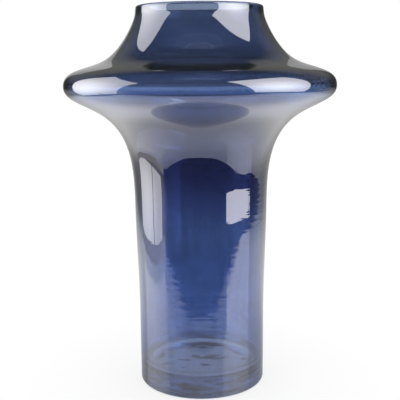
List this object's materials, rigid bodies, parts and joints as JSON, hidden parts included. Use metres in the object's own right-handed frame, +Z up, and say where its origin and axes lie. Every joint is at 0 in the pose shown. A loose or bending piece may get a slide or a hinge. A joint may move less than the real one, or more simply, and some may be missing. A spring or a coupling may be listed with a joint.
{
  "type": "glass vase",
  "caption": "Tall blue lustre glass vase: a straight tube on a thick heel, opening into a wide hollow disc under a short tapered neck.",
  "frame": {"origin": "middle of the foot, on the surface that the vase stands on", "axes": "+Z up along the vase's axis; the vase is round about Z, so X and Y are any two level directions, with -Y towards the picture's camera"},
  "size_m": [0.247, 0.247, 0.35],
  "materials": {
    "clear_glass": "clear blown soda-lime glass, fire polished",
    "blue_lustre": "thin see-through blue-grey metallic lustre, half mirror"
  },
  "bodies": {
    "root": {"heel": "clear_glass", "tube": "clear_glass", "flare": "clear_glass", "disc": "clear_glass", "neck": "clear_glass", "lip": "clear_glass", "lustre_coat": "blue_lustre"}
  },
  "joints": []
}
